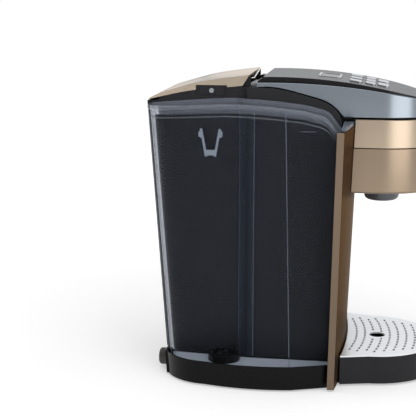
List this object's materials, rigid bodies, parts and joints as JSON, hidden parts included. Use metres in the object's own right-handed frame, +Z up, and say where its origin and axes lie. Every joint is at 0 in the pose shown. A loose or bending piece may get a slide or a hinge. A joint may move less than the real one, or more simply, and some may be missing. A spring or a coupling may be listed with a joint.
{
  "type": "pod coffee maker",
  "caption": "Countertop pod coffee maker with a lift-off clear water reservoir at its side, a brew head with a hinged lid and buttons, and a slide-out drip tray.",
  "frame": {"origin": "middle of the footprint on the table, under the feet", "axes": "+Z up, front and cup bay face -Y, the water reservoir is on -X"},
  "size_m": [0.251, 0.322, 0.334],
  "materials": {
    "gold_metal": "champagne brushed, fine vertical grain",
    "silver_metal": "satin silver-blue coat",
    "silver_button": "satin silver coat",
    "dark_gloss": "gloss, near-black",
    "charcoal_plastic": "satin, fine moulded grain",
    "black_plastic": "semi-gloss moulding",
    "clear_plastic": "clear, faintly smoky blue, polished",
    "display_glass": "dark gloss window",
    "plate_metal": "pale silver, satin",
    "base_metal": "matt black",
    "rubber": "matt",
    "silicone": "translucent white",
    "steel": "bare, lightly brushed",
    "white_plastic": "natural moulding",
    "circuit_board": "green solder mask"
  },
  "bodies": {
    "root": {"base_housing": "black_plastic", "base_plate": "base_metal", "base_screws": "steel", "brew_hose": "silicone", "cap_screw": "steel", "control_board": "circuit_board", "cord_gland": "black_plastic", "dock_seal": "rubber", "dock_socket": "black_plastic", "exit_needle": "steel", "front_panel": "gold_metal", "funnel": "black_plastic", "head_collar": "gold_metal", "head_deck": "charcoal_plastic", "head_lower_shell": "gold_metal", "heater_tank": "steel", "hinge_brackets": "steel", "hinge_pin": "steel", "left_side_panel": "charcoal_plastic", "panel_top_trim": "clear_plastic", "pod_holder": "black_plastic", "pump_body": "black_plastic", "pump_motor": "steel", "pump_mount": "rubber", "rear_cover": "charcoal_plastic", "rear_top_cap": "gold_metal", "right_inner_wall": "charcoal_plastic", "right_side_cover": "charcoal_plastic", "rubber_feet": "rubber", "side_latch_plate": "charcoal_plastic", "tank_legs": "black_plastic", "tank_lid": "black_plastic", "top_deck": "charcoal_plastic"},
    "lid": {"lid_top_panel": "dark_gloss", "handle": "silver_metal", "lid_inner_shell": "charcoal_plastic", "entry_needle": "steel", "needle_gasket": "rubber", "latch_hook": "black_plastic", "display_bezel": "silver_metal", "display_window": "display_glass", "display_module": "circuit_board", "keypad_board": "circuit_board", "lid_hose": "silicone"},
    "reservoir": {"reservoir_shell": "clear_plastic", "outlet_fitment": "black_plastic", "valve_spring": "steel", "wall_clip": "clear_plastic"},
    "outlet_valve": {"valve_plunger": "white_plastic"},
    "drip_tray": {"tray_body": "black_plastic"},
    "drip_plate": {"drip_plate": "plate_metal"},
    "pump_rotor": {"pump_rotor": "white_plastic"},
    "button_hot_water": {"button_hot_water": "silver_button"},
    "button_power": {"button_power": "silver_button"},
    "button_strong": {"button_strong": "silver_button"},
    "button_small_cup": {"button_small_cup": "silver_button"},
    "button_medium_cup": {"button_medium_cup": "silver_button"},
    "button_large_cup": {"button_large_cup": "silver_button"},
    "button_iced": {"button_iced": "silver_button"},
    "button_brew": {"button_brew": "silver_button"}
  },
  "joints": [
    {"name": "lid_hinge", "type": "hinge", "parent": "root", "child": "lid", "pos_m": [0, 0.046, 0.322], "axis": [-1, 0, 0], "range_deg": [0, 40]},
    {"name": "reservoir_lift", "type": "slide", "parent": "root", "child": "reservoir", "axis": [0, 0, 1], "range_m": [0, 0.33]},
    {"name": "outlet_valve_lift", "type": "slide", "parent": "reservoir", "child": "outlet_valve", "axis": [0, 0, 1], "range_m": [0, 0.002], "stiffness_N_per_m": 300, "deforming": ["valve_spring"]},
    {"name": "drip_tray_slide", "type": "slide", "parent": "root", "child": "drip_tray", "axis": [0, -1, 0], "range_m": [0, 0.13]},
    {"name": "drip_plate_lift", "type": "slide", "parent": "drip_tray", "child": "drip_plate", "axis": [0, 0, 1], "range_m": [0, 0.04]},
    {"name": "pump_spin", "type": "hinge", "parent": "root", "child": "pump_rotor", "pos_m": [0.008, -0.008, 0.05], "axis": [0, 0, 1], "continuous": true},
    {"name": "button_hot_water_press", "type": "slide", "parent": "lid", "child": "button_hot_water", "axis": [0, 0.1741, -0.9847], "range_m": [0, 0.001], "stiffness_N_per_m": 300},
    {"name": "button_power_press", "type": "slide", "parent": "lid", "child": "button_power", "axis": [0, 0.1741, -0.9847], "range_m": [0, 0.001], "stiffness_N_per_m": 300},
    {"name": "button_strong_press", "type": "slide", "parent": "lid", "child": "button_strong", "axis": [0, 0.1741, -0.9847], "range_m": [0, 0.001], "stiffness_N_per_m": 300},
    {"name": "button_small_cup_press", "type": "slide", "parent": "lid", "child": "button_small_cup", "axis": [0, 0.1741, -0.9847], "range_m": [0, 0.001], "stiffness_N_per_m": 300},
    {"name": "button_medium_cup_press", "type": "slide", "parent": "lid", "child": "button_medium_cup", "axis": [0, 0.1741, -0.9847], "range_m": [0, 0.001], "stiffness_N_per_m": 300},
    {"name": "button_large_cup_press", "type": "slide", "parent": "lid", "child": "button_large_cup", "axis": [0, 0.1741, -0.9847], "range_m": [0, 0.001], "stiffness_N_per_m": 300},
    {"name": "button_iced_press", "type": "slide", "parent": "lid", "child": "button_iced", "axis": [0, 0.1741, -0.9847], "range_m": [0, 0.001], "stiffness_N_per_m": 300},
    {"name": "button_brew_press", "type": "slide", "parent": "lid", "child": "button_brew", "axis": [0, 0.1741, -0.9847], "range_m": [0, 0.001], "stiffness_N_per_m": 300}
  ]
}
